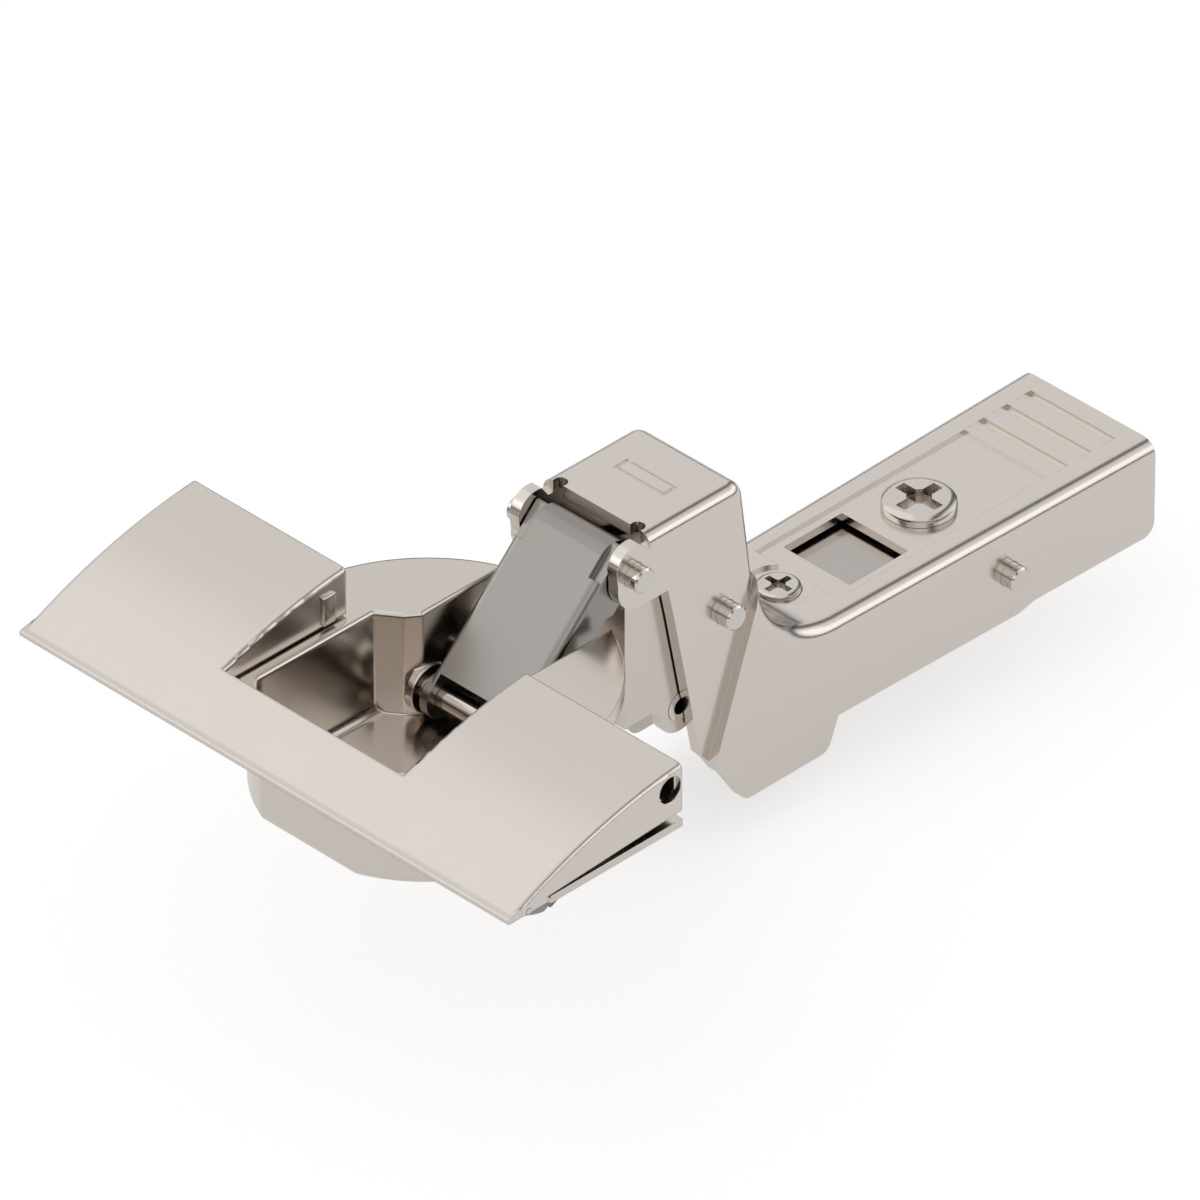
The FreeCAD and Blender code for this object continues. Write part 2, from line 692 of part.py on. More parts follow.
across(cup, "inner_pin_bore", [], "cup_pin_half", cut=True,
       rounds=[("inner_cup_pivot_x", "inner_cup_pivot_z", "cup_pin_bore")])

# Pins that the links turn on in the cup
turned_pin("outer_cup_pin", "outer_cup_pivot_x", "outer_cup_pivot_z", "cup_pin_radius",
           "cup_pin_half - 0.05", "arm_pin_chamfer")
turned_pin("inner_cup_pin", "inner_cup_pivot_x", "inner_cup_pivot_z", "cup_pin_radius",
           "cup_pin_half - 0.05", "arm_pin_chamfer")

# Wing plate: flat sheet with a round hole for the cup and two lugs for the lever
plate = new_body("base_plate")
slab(plate, "sheet", "XY_Plane", [
    ("-plate_front", "-lever_lug_inner"),
    ("-plate_front", "lever_lug_inner"),
    ("-plate_front + 3.0", "lever_lug_inner"),
    ("-plate_front + 3.0", "wing_half"),
    ("wing_back", "wing_half"),
    ("wing_back", "-wing_half"),
    ("-plate_front + 3.0", "-wing_half"),
    ("-plate_front + 3.0", "-lever_lug_inner"),
], "0.0", "wing_sheet")
slab(plate, "cup_hole", "XY_Plane", [], "-1.0", "wing_sheet + 2.0", cut=True,
     rounds=[("0", "0", "boss_radius + seat_clearance"),
             ("-dowel_x", "dowel_y", "dowel_neck + pin_clearance"),
             ("-dowel_x", "-dowel_y", "dowel_neck + pin_clearance")])
both_sides(plate, "lug", [
    ("-lever_pivot_x - 0.8", "0.05"),
    ("-lever_pivot_x - 0.8", "wing_sheet - 0.45"),
    ("-lever_pivot_x + 0.7", "wing_sheet + 0.15"),
    ("-lever_pivot_x + 2.9", "wing_sheet + 0.15"),
    ("-lever_pivot_x + 2.9", "0.05"),
], "lever_lug_inner - 0.4", "lever_lug_inner + lever_lug_sheet")
both_sides(plate, "lever_pin_bore", [], "lever_lug_inner", "lever_lug_inner + lever_lug_sheet + 0.5", cut=True,
           rounds=[("-lever_pivot_x", "lever_pivot_z", "lever_pin_radius + 0.01")])

# Locking lever: one stamping over both wings, joined by a strip at the front
lever = new_body("locking_lever")
across(lever, "outside", [
    ("-wing_front", "lever_front_bottom"),
    ("-wing_front", "lever_nose_height - 0.15"),
    ("-wing_front + 0.7", "lever_nose_height", "-lever_mid_x", "lever_mid_height"),
    ("lever_back", "lever_back_height"),
    ("lever_back", "lever_back_gap + wing_sheet"),
    ("-lever_level_x", "wing_sheet + lever_side_gap"),
    ("-plate_front + 2.8", "lever_front_bottom"),
], "wing_half")
dress(lever, "Fillet", "end_bend", on_lever_end, "lever_edge_round")
INSIDE = [
    ("-wing_front + lever_sheet", "-1.0"),
    ("-wing_front + lever_sheet", "lever_nose_height - 0.75"),
    ("-wing_front + 1.8", "lever_nose_height - 0.45", "-lever_mid_x + 0.1", "lever_mid_height - lever_sheet * 1.03"),
    ("lever_back + 3.0", "lever_back_height - lever_sheet + 0.35"),
    ("lever_back + 3.0", "-1.0"),
]
both_sides(lever, "wing_hollow", INSIDE, "lever_window_half + lever_sheet", "wing_half - lever_sheet", cut=True)
across(lever, "strip_hollow", [
    ("-wing_front + lever_sheet", "-1.0"),
    ("-wing_front + lever_sheet", "lever_nose_height - 0.75"),
    ("-wing_front + 1.8", "lever_nose_height - 0.45"),
    ("-lever_window_front + 0.4", "lever_nose_height + 1.85"),
    ("-lever_window_front + 0.4", "-1.0"),
], "lever_window_half + lever_sheet + 0.1", cut=True)
slab(lever, "cup_window", "XY_Plane",
     box("-lever_window_front", "lever_back + 2.0", "-lever_window_half", "lever_window_half"),
     "-1.0", "lever_back_height + 3.0", cut=True)
dress(lever, "Fillet", "window_bend", on_lever_window, "lever_window_round")
both_sides(lever, "inner_skirt_gap", box("-lever_window_front - 1.0", "lever_back + 2.0", "-1.0", "disc_thickness + 0.25"),
           "lever_window_half - 0.2", "disc_radius + 1.0", cut=True)
both_sides(lever, "side_hole", [], "wing_half - lever_sheet - 0.5", "wing_half + 0.5", cut=True,
           rounds=[("lever_hole_x", "lever_hole_z", "lever_hole_radius")])
both_sides(lever, "lever_pin_bore", [], "wing_half - lever_sheet - 0.5", "wing_half + 0.5", cut=True,
           rounds=[("-lever_pivot_x", "lever_pivot_z", "lever_pin_radius + pivot_clearance")])

# Short pins that the lever tilts on
for side, sign in (("left", ""), ("right", "-")):
    pin = new_body(f"lever_pin_{side}")
    turn(pin, "pin", "XY_Plane", ("-lever_pivot_x", f"{sign}lever_lug_inner", "lever_pivot_z"), [
        ("0", f"{sign}0.0"),
        ("lever_pin_radius", f"{sign}0.0"),
        ("lever_pin_radius", f"{sign}( wing_half - lever_lug_inner )"),
        ("0", f"{sign}( wing_half - lever_lug_inner )"),
    ])

# Dowels that spread in the two 8 mm borings, and the spreaders that drive them
for side, sign in (("left", ""), ("right", "-")):
    dowel = new_body(f"dowel_{side}")
    turn(dowel, "sleeve", "XZ_Plane", ("-dowel_x", "0", f"{'-' if not sign else ''}dowel_y"), [
        ("spreader_radius + slide_clearance", "wing_sheet + dowel_flare_height"),
        ("dowel_flare", "wing_sheet + dowel_flare_height"),
        ("dowel_flare", "wing_sheet"),
        ("dowel_neck", "wing_sheet"),
        ("dowel_neck", "0.0"),
        ("dowel_radius", "0.0"),
        ("dowel_radius", "-dowel_depth + 1.0"),
        ("dowel_radius - 0.6", "-dowel_depth"),
        ("spreader_cone + 0.3", "-dowel_depth"),
        ("spreader_cone + 0.3", "-dowel_depth + 2.2 + spreader_rise"),
        ("spreader_radius + slide_clearance", "-dowel_depth + 3.0 + spreader_rise"),
    ])
    slab(dowel, "slit", "XY_Plane", box(
        "-dowel_x - dowel_slit * 0.5", "-dowel_x + dowel_slit * 0.5",
        f"{sign}dowel_y - dowel_radius - 1.0", f"{sign}dowel_y + dowel_radius + 1.0"),
        "-dowel_depth - 1.0", "dowel_depth - 1.0", cut=True)
    spreader = new_body(f"spreader_{side}")
    turn(spreader, "bolt", "XZ_Plane", ("-dowel_x", "0", f"{'-' if not sign else ''}dowel_y"), [
        ("0", "lever_mid_height - 1.2"),
        ("spreader_head - 1.2", "lever_mid_height - 1.4"),
        ("spreader_head", "lever_mid_height - 2.2"),
        ("spreader_head", "wing_sheet + dowel_flare_height + 0.1"),
        ("spreader_radius", "wing_sheet + dowel_flare_height + 0.1"),
        ("spreader_radius", "-dowel_depth + 2.6"),
        ("spreader_cone", "-dowel_depth + 0.8"),
        ("spreader_cone", "-dowel_depth + 0.2"),
        ("0", "-dowel_depth + 0.2"),
    ])

# Outer link: a broad plate with a cheek down each side, rolled round the nose pin
outer = new_body("outer_link")


def on_link(along, out):
    """A point of the outer link, along it from the cup pivot and out from its axis."""
    return (f"outer_cup_pivot_x + ( {along} ) * link_cos - ( {out} ) * link_sin",
            f"outer_cup_pivot_z + ( {along} ) * link_sin + ( {out} ) * link_cos")


across(outer, "form", [
    on_link("0", "outer_link_eye"),
    on_link("0", "-outer_link_eye"),
    on_link("link_span", "-outer_link_eye"),
    on_link("link_span", "outer_link_eye"),
], "outer_link_half")
dress(outer, "Fillet", "side_bend", on_outer_link_side, "outer_link_roll")
for name, x, z in (("cup_eye", "outer_cup_pivot_x", "outer_cup_pivot_z"),
                   ("nose_roll", "nose_pivot_x", "nose_pivot_z")):
    across(outer, name, [], "outer_link_half", rounds=[(x, z, "outer_link_eye")])
across(outer, "hollow", [
    on_link("-outer_link_eye - 1.0", "outer_link_eye + 1.0"),
    on_link("outer_link_lip", "outer_link_eye + 1.0"),
    on_link("outer_link_lip", "outer_link_eye - link_sheet"),
    on_link("link_span", "outer_link_eye - link_sheet"),
    on_link("link_span", "0"),
    on_link("link_span + outer_link_eye + 1.0", "-0.6"),
    on_link("link_span + outer_link_eye + 1.0", "-outer_link_eye - 1.0"),
    on_link("-outer_link_eye - 1.0", "-outer_link_eye - 1.0"),
], "outer_link_half - link_sheet", cut=True)
across(outer, "pivot_bores", [], "outer_link_half + 1.0", cut=True, rounds=[
    ("outer_cup_pivot_x", "outer_cup_pivot_z", "cup_pivot_bore"),
    ("nose_pivot_x", "nose_pivot_z", "arm_pivot_bore"),
])
both_sides(outer, "corner_notch", [
    on_link("link_span - outer_link_eye", "outer_link_eye + 1.0"),
    on_link("link_span - outer_link_eye", "outer_link_eye - 0.6"),
    on_link("link_span + outer_link_eye - 0.6", "outer_link_eye - 0.6"),
    on_link("link_span + outer_link_eye - 0.6", "-outer_link_eye - 1.0"),
    on_link("link_span + outer_link_eye + 1.0", "-outer_link_eye - 1.0"),
    on_link("link_span + outer_link_eye + 1.0", "outer_link_eye + 1.0"),
], "outer_link_half - outer_link_notch", "outer_link_half + 1.0", cut=True)

across(outer, "inner_pin_notch", [], "outer_link_half + 1.0", cut=True, rounds=[
    ("inner_cup_pivot_x", "inner_cup_pivot_z", "cup_pin_radius + notch_clearance")])
across(outer, "inner_pin_notch_open", [], "outer_link_half + 1.0", cut=True, rounds=[
    ("inner_cup_pivot_x - 0.14", "inner_cup_pivot_z + 0.53", "cup_pin_radius + notch_clearance")])
across(outer, "cheek_edge", [
    on_link("outer_link_eye + 2.5", "-outer_link_eye + 0.6"),
    on_link("link_span - outer_link_eye - 2.5", "-outer_link_eye + 0.6"),
    on_link("link_span - outer_link_eye - 1.0", "-outer_link_eye - 1.0"),
    on_link("outer_link_eye + 1.0", "-outer_link_eye - 1.0"),
], "outer_link_half + 1.0", cut=True)

# Inner link: a hooked channel that reaches round the outer cup pivot
inner = new_body("inner_link")
across(inner, "neck", [
    ("inner_cup_pivot_x + 0.3", "inner_cup_pivot_z + inner_link_eye - 0.1"),
    ("14.0", "-3.6"),
    ("15.3", "-2.6"),
    ("15.4", "-1.0"),
    ("15.0", "0.0"),
    ("14.9", "0.6"),
    ("15.6", "1.9"),
    ("17.0", "3.1"),
    ("18.6", "4.0"),
    ("20.5", "4.0"),
    ("inner_link_web + link_sheet", "4.2"),
    ("inner_link_web + link_sheet", "1.5"),
    ("inner_link_web", "1.5"),
    ("inner_link_web", "2.3"),
    ("20.3", "3.0"),
    ("18.6", "3.0"),
    ("17.1", "1.2"),
    ("17.0", "-2.6"),
    ("15.9", "-3.3"),
    ("14.6", "-5.5"),
    ("inner_cup_pivot_x + 1.0", "inner_cup_pivot_z - inner_link_eye + 0.4"),
    ("inner_cup_pivot_x - 0.8", "inner_cup_pivot_z"),
], "inner_link_near_half")
across(inner, "cup_eye", [], "inner_link_near_half",
       rounds=[("inner_cup_pivot_x", "inner_cup_pivot_z", "inner_link_eye")])
across(inner, "neck_hollow", [
    ("8.0", "-10.0"),
    ("15.0", "-10.0"),
    ("14.3", "-6.2"),
    ("13.9", "-4.9"),
    ("15.0", "-3.1"),
    ("16.0", "-2.2"),
    ("16.1", "1.6"),
    ("17.8", "3.2"),
    ("17.2", "4.6"),
    ("8.0", "4.6"),
], "inner_link_near_half - link_sheet", cut=True)
across(inner, "body", [
    ("inner_link_web", "2.0"),
    ("24.5", "2.0"),
    ("rear_pivot_x - 1.0", "rear_pivot_z + inner_link_ring"),
    ("rear_pivot_x + inner_link_mouth - 0.9", "rear_pivot_z + inner_link_ring - 0.5"),
    ("rear_pivot_x + inner_link_mouth", "rear_pivot_z + 2.6"),
    ("rear_pivot_x + inner_link_mouth", "rear_pivot_z - 1.6"),
    ("rear_pivot_x + 0.4", "rear_pivot_z - inner_link_ring + 0.5"),
    ("rivet_x + rivet_boss", "rivet_z", "rivet_x", "rivet_z - rivet_boss"),
    ("rivet_x - rivet_boss", "rivet_z + 0.2"),
    ("rivet_x - rivet_boss - 1.2", "inner_link_bottom"),
    ("inner_link_web", "inner_link_bottom"),
], "inner_link_far_half")
across(inner, "body_hollow", [
    ("inner_link_web + link_sheet", "2.8"),
    ("rear_pivot_x + inner_link_ring + 2.0", "2.8"),
    ("rear_pivot_x + inner_link_ring + 2.0", "rivet_z - rivet_boss - 2.0"),
    ("inner_link_web + link_sheet", "rivet_z - rivet_boss - 2.0"),
], "inner_link_far_half - link_sheet", cut=True)
across(inner, "pivot_bores", [], "inner_link_far_half + 1.0", cut=True, rounds=[
    ("inner_cup_pivot_x", "inner_cup_pivot_z", "cup_pivot_bore"),
    ("rear_pivot_x", "rear_pivot_z", "inner_link_play"),
    ("rivet_x", "rivet_z", "rivet_radius + pin_clearance"),
])
rivet = new_body("link_rivet")
turn(rivet, "tube", "XY_Plane", ("rivet_x", "0", "rivet_z"), [
    ("rivet_hole", "-inner_link_far_half - 0.08"),
    ("rivet_radius", "-inner_link_far_half - 0.08"),
    ("rivet_radius", "inner_link_far_half + 0.08"),
    ("rivet_hole", "inner_link_far_half + 0.08"),
])

# Pins of the arm
turned_pin("nose_pin", "nose_pivot_x", "nose_pivot_z", "arm_pin_radius",
           "nose_half + arm_pin_proud", "arm_pin_chamfer", "nose_half + arm_pin_proud * 0.4")
turned_pin("rear_pin", "rear_pivot_x", "rear_pivot_z", "arm_pin_radius",
           "nose_half + arm_pin_proud", "arm_pin_chamfer", "nose_half + arm_pin_proud * 0.4")
turned_pin("clip_pin", "clip_pivot_x", "clip_pivot_z", "arm_pin_radius",
           "clip_pin_half", "arm_pin_chamfer", "clip_pin_half - arm_pin_proud * 0.5")

# Clip carrier: the inner channel that sits on the mounting plate
carrier = new_body("clip_carrier")
across(carrier, "form", [
    ("carrier_front", "carrier_top"),
    ("carrier_back", "carrier_top"),
    ("carrier_back", "carrier_top - carrier_sheet - 1.0"),
    ("carrier_back - 3.0", "carrier_bottom"),
    ("carrier_front + 6.0", "carrier_bottom"),
    ("carrier_front", "carrier_top - carrier_sheet - 1.0"),
], "carrier_half")
across(carrier, "hollow", box("carrier_front - 1.0", "carrier_back + 1.0",
                              "carrier_bottom - 1.0", "carrier_top - carrier_sheet"),
       "carrier_half - carrier_sheet", cut=True)
slab(carrier, "screw_slot", "XY_Plane", [
    ("carrier_front - 1.0", "-side_screw_neck - 0.1"),
    ("side_screw_x + carrier_play + 1.3", "-side_screw_neck - 0.1"),
    ("side_screw_x + carrier_play + 1.3", "side_screw_neck + 0.1"),
    ("carrier_front - 1.0", "side_screw_neck + 0.1"),
], "carrier_top - carrier_sheet - 1.0", "carrier_sheet + 2.0", cut=True)
for step in ("-", "+"):
    slab(carrier, f"cam_slot_end_{'back' if step == '+' else 'front'}", "XY_Plane", [],
         "carrier_top - carrier_sheet - 1.0", "carrier_sheet + 2.0", cut=True,
         rounds=[(f"depth_cam_x {step} carrier_play", "0", "cam_foot_radius + 0.1")])
    across(carrier, f"clip_pin_slot_end_{'back' if step == '+' else 'front'}", [], "carrier_half + 1.0", cut=True,
           rounds=[(f"clip_pivot_x {step} carrier_play", "clip_pivot_z", "arm_pin_radius + 0.1")])
slab(carrier, "cam_slot", "XY_Plane", box(
    "depth_cam_x - carrier_play", "depth_cam_x + carrier_play",
    "-cam_foot_radius - 0.1", "cam_foot_radius + 0.1"),
     "carrier_top - carrier_sheet - 1.0", "carrier_sheet + 2.0", cut=True)
across(carrier, "clip_pin_slot", box(
    "clip_pivot_x - carrier_play", "clip_pivot_x + carrier_play",
    "clip_pivot_z - arm_pin_radius - 0.1", "clip_pivot_z + arm_pin_radius + 0.1"),
       "carrier_half + 1.0", cut=True)
across(carrier, "release_pin_bore", [], "carrier_half + 1.0", cut=True,
       rounds=[("release_pivot_x", "release_pivot_z", "release_pin_radius + pin_clearance")])

# Screws of the arm
cam = new_body("depth_cam")
turn(cam, "cam", "XZ_Plane", ("depth_cam_x", "0", "0"), [
    ("0", "arm_top - panel_depth + cam_head_height - 0.4"),
    ("cam_head_radius - 1.2", "arm_top - panel_depth + cam_head_height - 0.3"),
    ("cam_head_radius - 0.5", "arm_top - panel_depth + cam_head_height"),
    ("cam_head_radius", "arm_top - panel_depth + cam_head_height - 0.5"),
    ("cam_head_radius", "arm_top - panel_depth + 0.03"),
    ("cam_neck_radius", "arm_top - panel_depth + 0.03"),
    ("cam_neck_radius", "arm_top - arm_sheet - 0.1"),
    ("cam_foot_radius", "arm_top - arm_sheet - 0.1"),
    ("cam_foot_radius", "carrier_top - carrier_sheet - 0.4"),
    ("0", "carrier_top - carrier_sheet - 0.4"),
])
slab(cam, "recess_along", "XY_Plane", box("depth_cam_x - 1.9", "depth_cam_x + 1.9", "-0.45", "0.45"),
     "arm_top - panel_depth + cam_head_height - 2.2", "3.0", cut=True)
slab(cam, "recess_across", "XY_Plane", box("depth_cam_x - 0.45", "depth_cam_x + 0.45", "-1.9", "1.9"),
     "arm_top - panel_depth + cam_head_height - 2.2", "3.0", cut=True)
screw = new_body("side_screw")
turn(screw, "screw", "XZ_Plane", ("side_screw_x", "0", "0"), [
    ("0", "side_screw_top"),
    ("side_screw_radius - 0.3", "side_screw_top"),
    ("side_screw_radius", "side_screw_top - 0.3"),
    ("side_screw_radius", "carrier_top + 0.15"),
    ("side_screw_neck", "carrier_top + 0.15"),
    ("side_screw_neck", "carrier_top - carrier_sheet - 0.15"),
    ("side_screw_radius", "carrier_top - carrier_sheet - 0.15"),
    ("side_screw_radius", "carrier_top - carrier_sheet - 1.6"),
    ("side_screw_radius - 0.5", "carrier_top - carrier_sheet - 2.1"),
    ("0", "carrier_top - carrier_sheet - 2.1"),
])
slab(screw, "recess_along", "XY_Plane", box("side_screw_x - 1.6", "side_screw_x + 1.6", "-0.4", "0.4"),
     "side_screw_top - 1.5", "2.0", cut=True)
slab(screw, "recess_across", "XY_Plane", box("side_screw_x - 0.4", "side_screw_x + 0.4", "-1.6", "1.6"),
     "side_screw_top - 1.5", "2.0", cut=True)

# Release lever of the clip, on its own rivet, with its spring
release = new_body("clip_lever")
across(release, "form", [
    ("release_pivot_x - 2.2", "release_top"),
    ("release_end", "release_top"),
    ("release_end", "release_top - release_sheet"),
    ("release_pivot_x + 6.0", "release_top - release_sheet"),
    ("release_pivot_x + 3.0", "release_pivot_z - 2.6"),
    ("release_pivot_x + 2.6", "release_hook_z + 0.8"),
    ("release_pivot_x + 1.4", "release_hook_z"),
    ("release_pivot_x - 1.8", "release_hook_z"),
    ("release_pivot_x - 1.8", "release_hook_z + 1.0"),
    ("release_pivot_x - 0.6", "release_hook_z + 1.4"),
    ("release_pivot_x - 2.2", "release_pivot_z - 1.0"),
], "release_half")
across(release, "hollow", box("release_pivot_x - 4.0", "release_end + 1.0",
                              "release_hook_z - 1.0", "release_top - release_sheet"),
       "release_half - release_sheet", cut=True)
across(release, "pin_bore", [], "release_half + 1.0", cut=True,
       rounds=[("release_pivot_x", "release_pivot_z", "release_pin_radius + pivot_clearance")])
turned_pin("clip_rivet", "release_pivot_x", "release_pivot_z", "release_pin_radius",
           "carrier_half + 0.3", "arm_pin_chamfer")
coil = doc.addObject("Part::Helix", "spring_path")
for name, text in (("Radius", "spring_radius"), ("Pitch", "spring_pitch"),
                   ("Height", "spring_pitch * spring_turns"),
                   ("Placement.Base.x", "release_pivot_x"), ("Placement.Base.z", "release_pivot_z"),
                   ("Placement.Base.y", "-spring_pitch * spring_turns * 0.5")):
    coil.setExpression(name, expression(text))
coil.Placement = Placement(coil.Placement.Base, Rotation(Vector(1, 0, 0), -90))
wire = doc.addObject("Part::Circle", "spring_wire_section")
wire.setExpression("Radius", expression("spring_wire"))
wire.Placement = Placement(Vector(0, 0, 0), Rotation(Vector(1, 0, 0), 0))
for axis, text in (("x", "release_pivot_x + spring_radius"), ("y", "-spring_pitch * spring_turns * 0.5"),
                   ("z", "release_pivot_z")):
    wire.setExpression(f"Placement.Base.{axis}", expression(text))
spring = doc.addObject("Part::Sweep", "clip_spring")
spring.Label = "clip_spring"
spring.Sections = [wire]
spring.Spine = coil
spring.Solid = True
spring.Frenet = True
parts.append(spring)
doc.recompute()

# Export
for item in doc.Objects:
    if any(state in item.State for state in ("Invalid", "Error")):
        raise RuntimeError(f"{item.Name} is {item.State}")
for item in parts:
    shape = item.Shape
    if shape.isNull() or not shape.isValid():
        raise RuntimeError(f"{item.Label} has no valid shape")
    shape.exportStep(f"parts/{item.Label}.step")
    box = shape.BoundBox
    print(f"{item.Label}: {len(shape.Solids)} solid, {shape.Volume:.1f} mm3, "
          f"x {box.XMin:.2f} {box.XMax:.2f}, y {box.YMin:.2f} {box.YMax:.2f}, z {box.ZMin:.2f} {box.ZMax:.2f}")
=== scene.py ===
import math

import bmesh
import bpy
from mathutils import Matrix, Vector


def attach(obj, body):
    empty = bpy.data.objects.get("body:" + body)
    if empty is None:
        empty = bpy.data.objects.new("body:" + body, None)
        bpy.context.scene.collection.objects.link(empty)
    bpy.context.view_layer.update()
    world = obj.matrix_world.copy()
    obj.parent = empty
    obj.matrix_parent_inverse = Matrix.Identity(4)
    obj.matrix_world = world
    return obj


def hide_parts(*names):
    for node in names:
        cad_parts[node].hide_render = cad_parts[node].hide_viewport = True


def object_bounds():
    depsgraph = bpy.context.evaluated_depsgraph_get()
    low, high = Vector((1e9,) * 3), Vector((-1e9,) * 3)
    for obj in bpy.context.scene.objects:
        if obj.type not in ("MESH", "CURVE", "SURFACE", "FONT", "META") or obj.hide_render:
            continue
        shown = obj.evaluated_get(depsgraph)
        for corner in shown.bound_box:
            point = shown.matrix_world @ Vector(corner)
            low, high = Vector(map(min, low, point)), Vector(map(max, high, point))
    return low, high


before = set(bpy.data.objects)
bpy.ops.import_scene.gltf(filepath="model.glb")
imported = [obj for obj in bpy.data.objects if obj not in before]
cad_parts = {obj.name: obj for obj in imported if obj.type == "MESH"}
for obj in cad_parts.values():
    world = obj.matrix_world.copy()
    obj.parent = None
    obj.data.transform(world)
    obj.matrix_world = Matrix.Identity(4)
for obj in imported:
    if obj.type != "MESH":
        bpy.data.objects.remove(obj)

# Concealed cup hinge with the door 90 degrees open, in metres.
# The origin is the centre of the cup on the face of the door, +X runs along the arm.
MM = 0.001
cad_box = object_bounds()


# Finishes
# Linear colours of the plated steels and the other materials
NICKEL = (0.670, 0.620, 0.575, 1.0)
# Painted shade: a slightly darker copy of the same nickel, a shaded copy for the side pieces.
NICKEL_PAINTED_SIDE_SHADE = (0.630, 0.580, 0.535, 1.0)
CAST_NICKEL = (0.640, 0.590, 0.540, 1.0)
# Painted shade: the outer link's nickel is the same plating darkened to under half, standing in
# for the shade the link sits in.
LINK_NICKEL_PAINTED_SHADE = (0.300, 0.282, 0.262, 1.0)
CARRIER_NICKEL = (0.480, 0.450, 0.420, 1.0)
PIN_STEEL = (0.640, 0.600, 0.560, 1.0)
SPRING_STEEL = (0.380, 0.380, 0.390, 1.0)
DOWEL_PLASTIC = (0.420, 0.420, 0.410, 1.0)

# Scales of the noise, in cycles per metre
GRAIN_SCALE = 2600.0
MOTTLE_SCALE = 140.0
GRAIN_SHARE = 0.6
BUMP_HEIGHT = 0.01 * MM


def math_node(nodes, links, operation, *inputs):
    """Result of a math node whose inputs are sockets or plain numbers."""
    node = nodes.new("ShaderNodeMath")
    node.operation = operation
    for socket, value in zip(node.inputs, inputs):
        if isinstance(value, float):
            socket.default_value = value
        else:
            links.new(value, socket)
    return node.outputs[0]


def noise(nodes, links, place, scale, detail):
    """Noise texture in the piece's own coordinates."""
    texture = nodes.new("ShaderNodeTexNoise")
    texture.inputs["Detail"].default_value = detail
    links.new(place, texture.inputs["Vector"])
    links.new(scale, texture.inputs["Scale"])
    return texture


def grain_group():
    """Mottled grain of a plated surface, with softened edges.

    Depth is the strength of the bump and Edge the radius of the softened edges in millimetres.
    """
    group = bpy.data.node_groups.new("plated_grain", "ShaderNodeTree")
    for name, kind in (("Grain", "NodeSocketFloat"), ("Mottle", "NodeSocketFloat"),
                       ("Tint", "NodeSocketColor"), ("Tint Spread", "NodeSocketFloat"),
                       ("Roughness", "NodeSocketFloat"), ("Roughness Spread", "NodeSocketFloat"),
                       ("Depth", "NodeSocketFloat"), ("Edge", "NodeSocketFloat")):
        group.interface.new_socket(name, in_out="INPUT", socket_type=kind)
    for name, kind in (("Color", "NodeSocketColor"), ("Roughness", "NodeSocketFloat"),
                       ("Normal", "NodeSocketVector")):
        group.interface.new_socket(name, in_out="OUTPUT", socket_type=kind)
    nodes, links = group.nodes, group.links
    start = nodes.new("NodeGroupInput").outputs
    end = nodes.new("NodeGroupOutput").inputs
    place = nodes.new("ShaderNodeTexCoord").outputs["Object"]

    grain = noise(nodes, links, place, start["Grain"], 4.0)
    grain.inputs["Roughness"].default_value = 0.65
    mottle = noise(nodes, links, place, start["Mottle"], 3.0)
    mottle_part = math_node(nodes, links, "MULTIPLY", mottle.outputs["Fac"], 1.0 - GRAIN_SHARE)
    both = math_node(nodes, links, "MULTIPLY_ADD", grain.outputs["Fac"], GRAIN_SHARE, mottle_part)
    centred = math_node(nodes, links, "SUBTRACT", both, 0.5)

    tint = nodes.new("ShaderNodeVectorMath")
    tint.operation = "SCALE"
    links.new(start["Tint"], tint.inputs[0])
    tint_shift = math_node(nodes, links, "MULTIPLY_ADD", centred, start["Tint Spread"], 1.0)
    links.new(tint_shift, tint.inputs["Scale"])
    links.new(tint.outputs[0], end["Color"])
    rough = math_node(nodes, links, "MULTIPLY_ADD",
                      centred, start["Roughness Spread"], start["Roughness"])
    links.new(rough, end["Roughness"])

    soft_edge = nodes.new("ShaderNodeBevel")
    soft_edge.samples = 16
    links.new(math_node(nodes, links, "MULTIPLY", start["Edge"], MM), soft_edge.inputs["Radius"])
    bump = nodes.new("ShaderNodeBump")
    bump.inputs["Distance"].default_value = BUMP_HEIGHT
    links.new(start["Depth"], bump.inputs["Strength"])
    links.new(grain.outputs["Fac"], bump.inputs["Height"])
    links.new(soft_edge.outputs["Normal"], bump.inputs["Normal"])
    links.new(bump.outputs["Normal"], end["Normal"])
    return group


plated_grain = grain_group()


def finish(name, colour, roughness, metallic=1.0, tint_spread=0.04, depth=0.01, edge=0.1):
    """Material of one piece or kind of piece, with the shared grain."""
    material = bpy.data.materials.new(name)
    material.use_nodes = True
    nodes, links = material.node_tree.nodes, material.node_tree.links
    shader = nodes["Principled BSDF"]
    shader.inputs["Metallic"].default_value = metallic
    surface = nodes.new("ShaderNodeGroup")
    surface.node_tree = plated_grain
    for socket, value in (("Grain", GRAIN_SCALE), ("Mottle", MOTTLE_SCALE),
                          ("Tint", colour), ("Tint Spread", tint_spread),
                          ("Roughness", roughness), ("Roughness Spread", 0.03),
                          ("Depth", depth), ("Edge", edge)):
        surface.inputs[socket].default_value = value
    links.new(surface.outputs["Color"], shader.inputs["Base Color"])
    links.new(surface.outputs["Roughness"], shader.inputs["Roughness"])
    links.new(surface.outputs["Normal"], shader.inputs["Normal"])
    return material


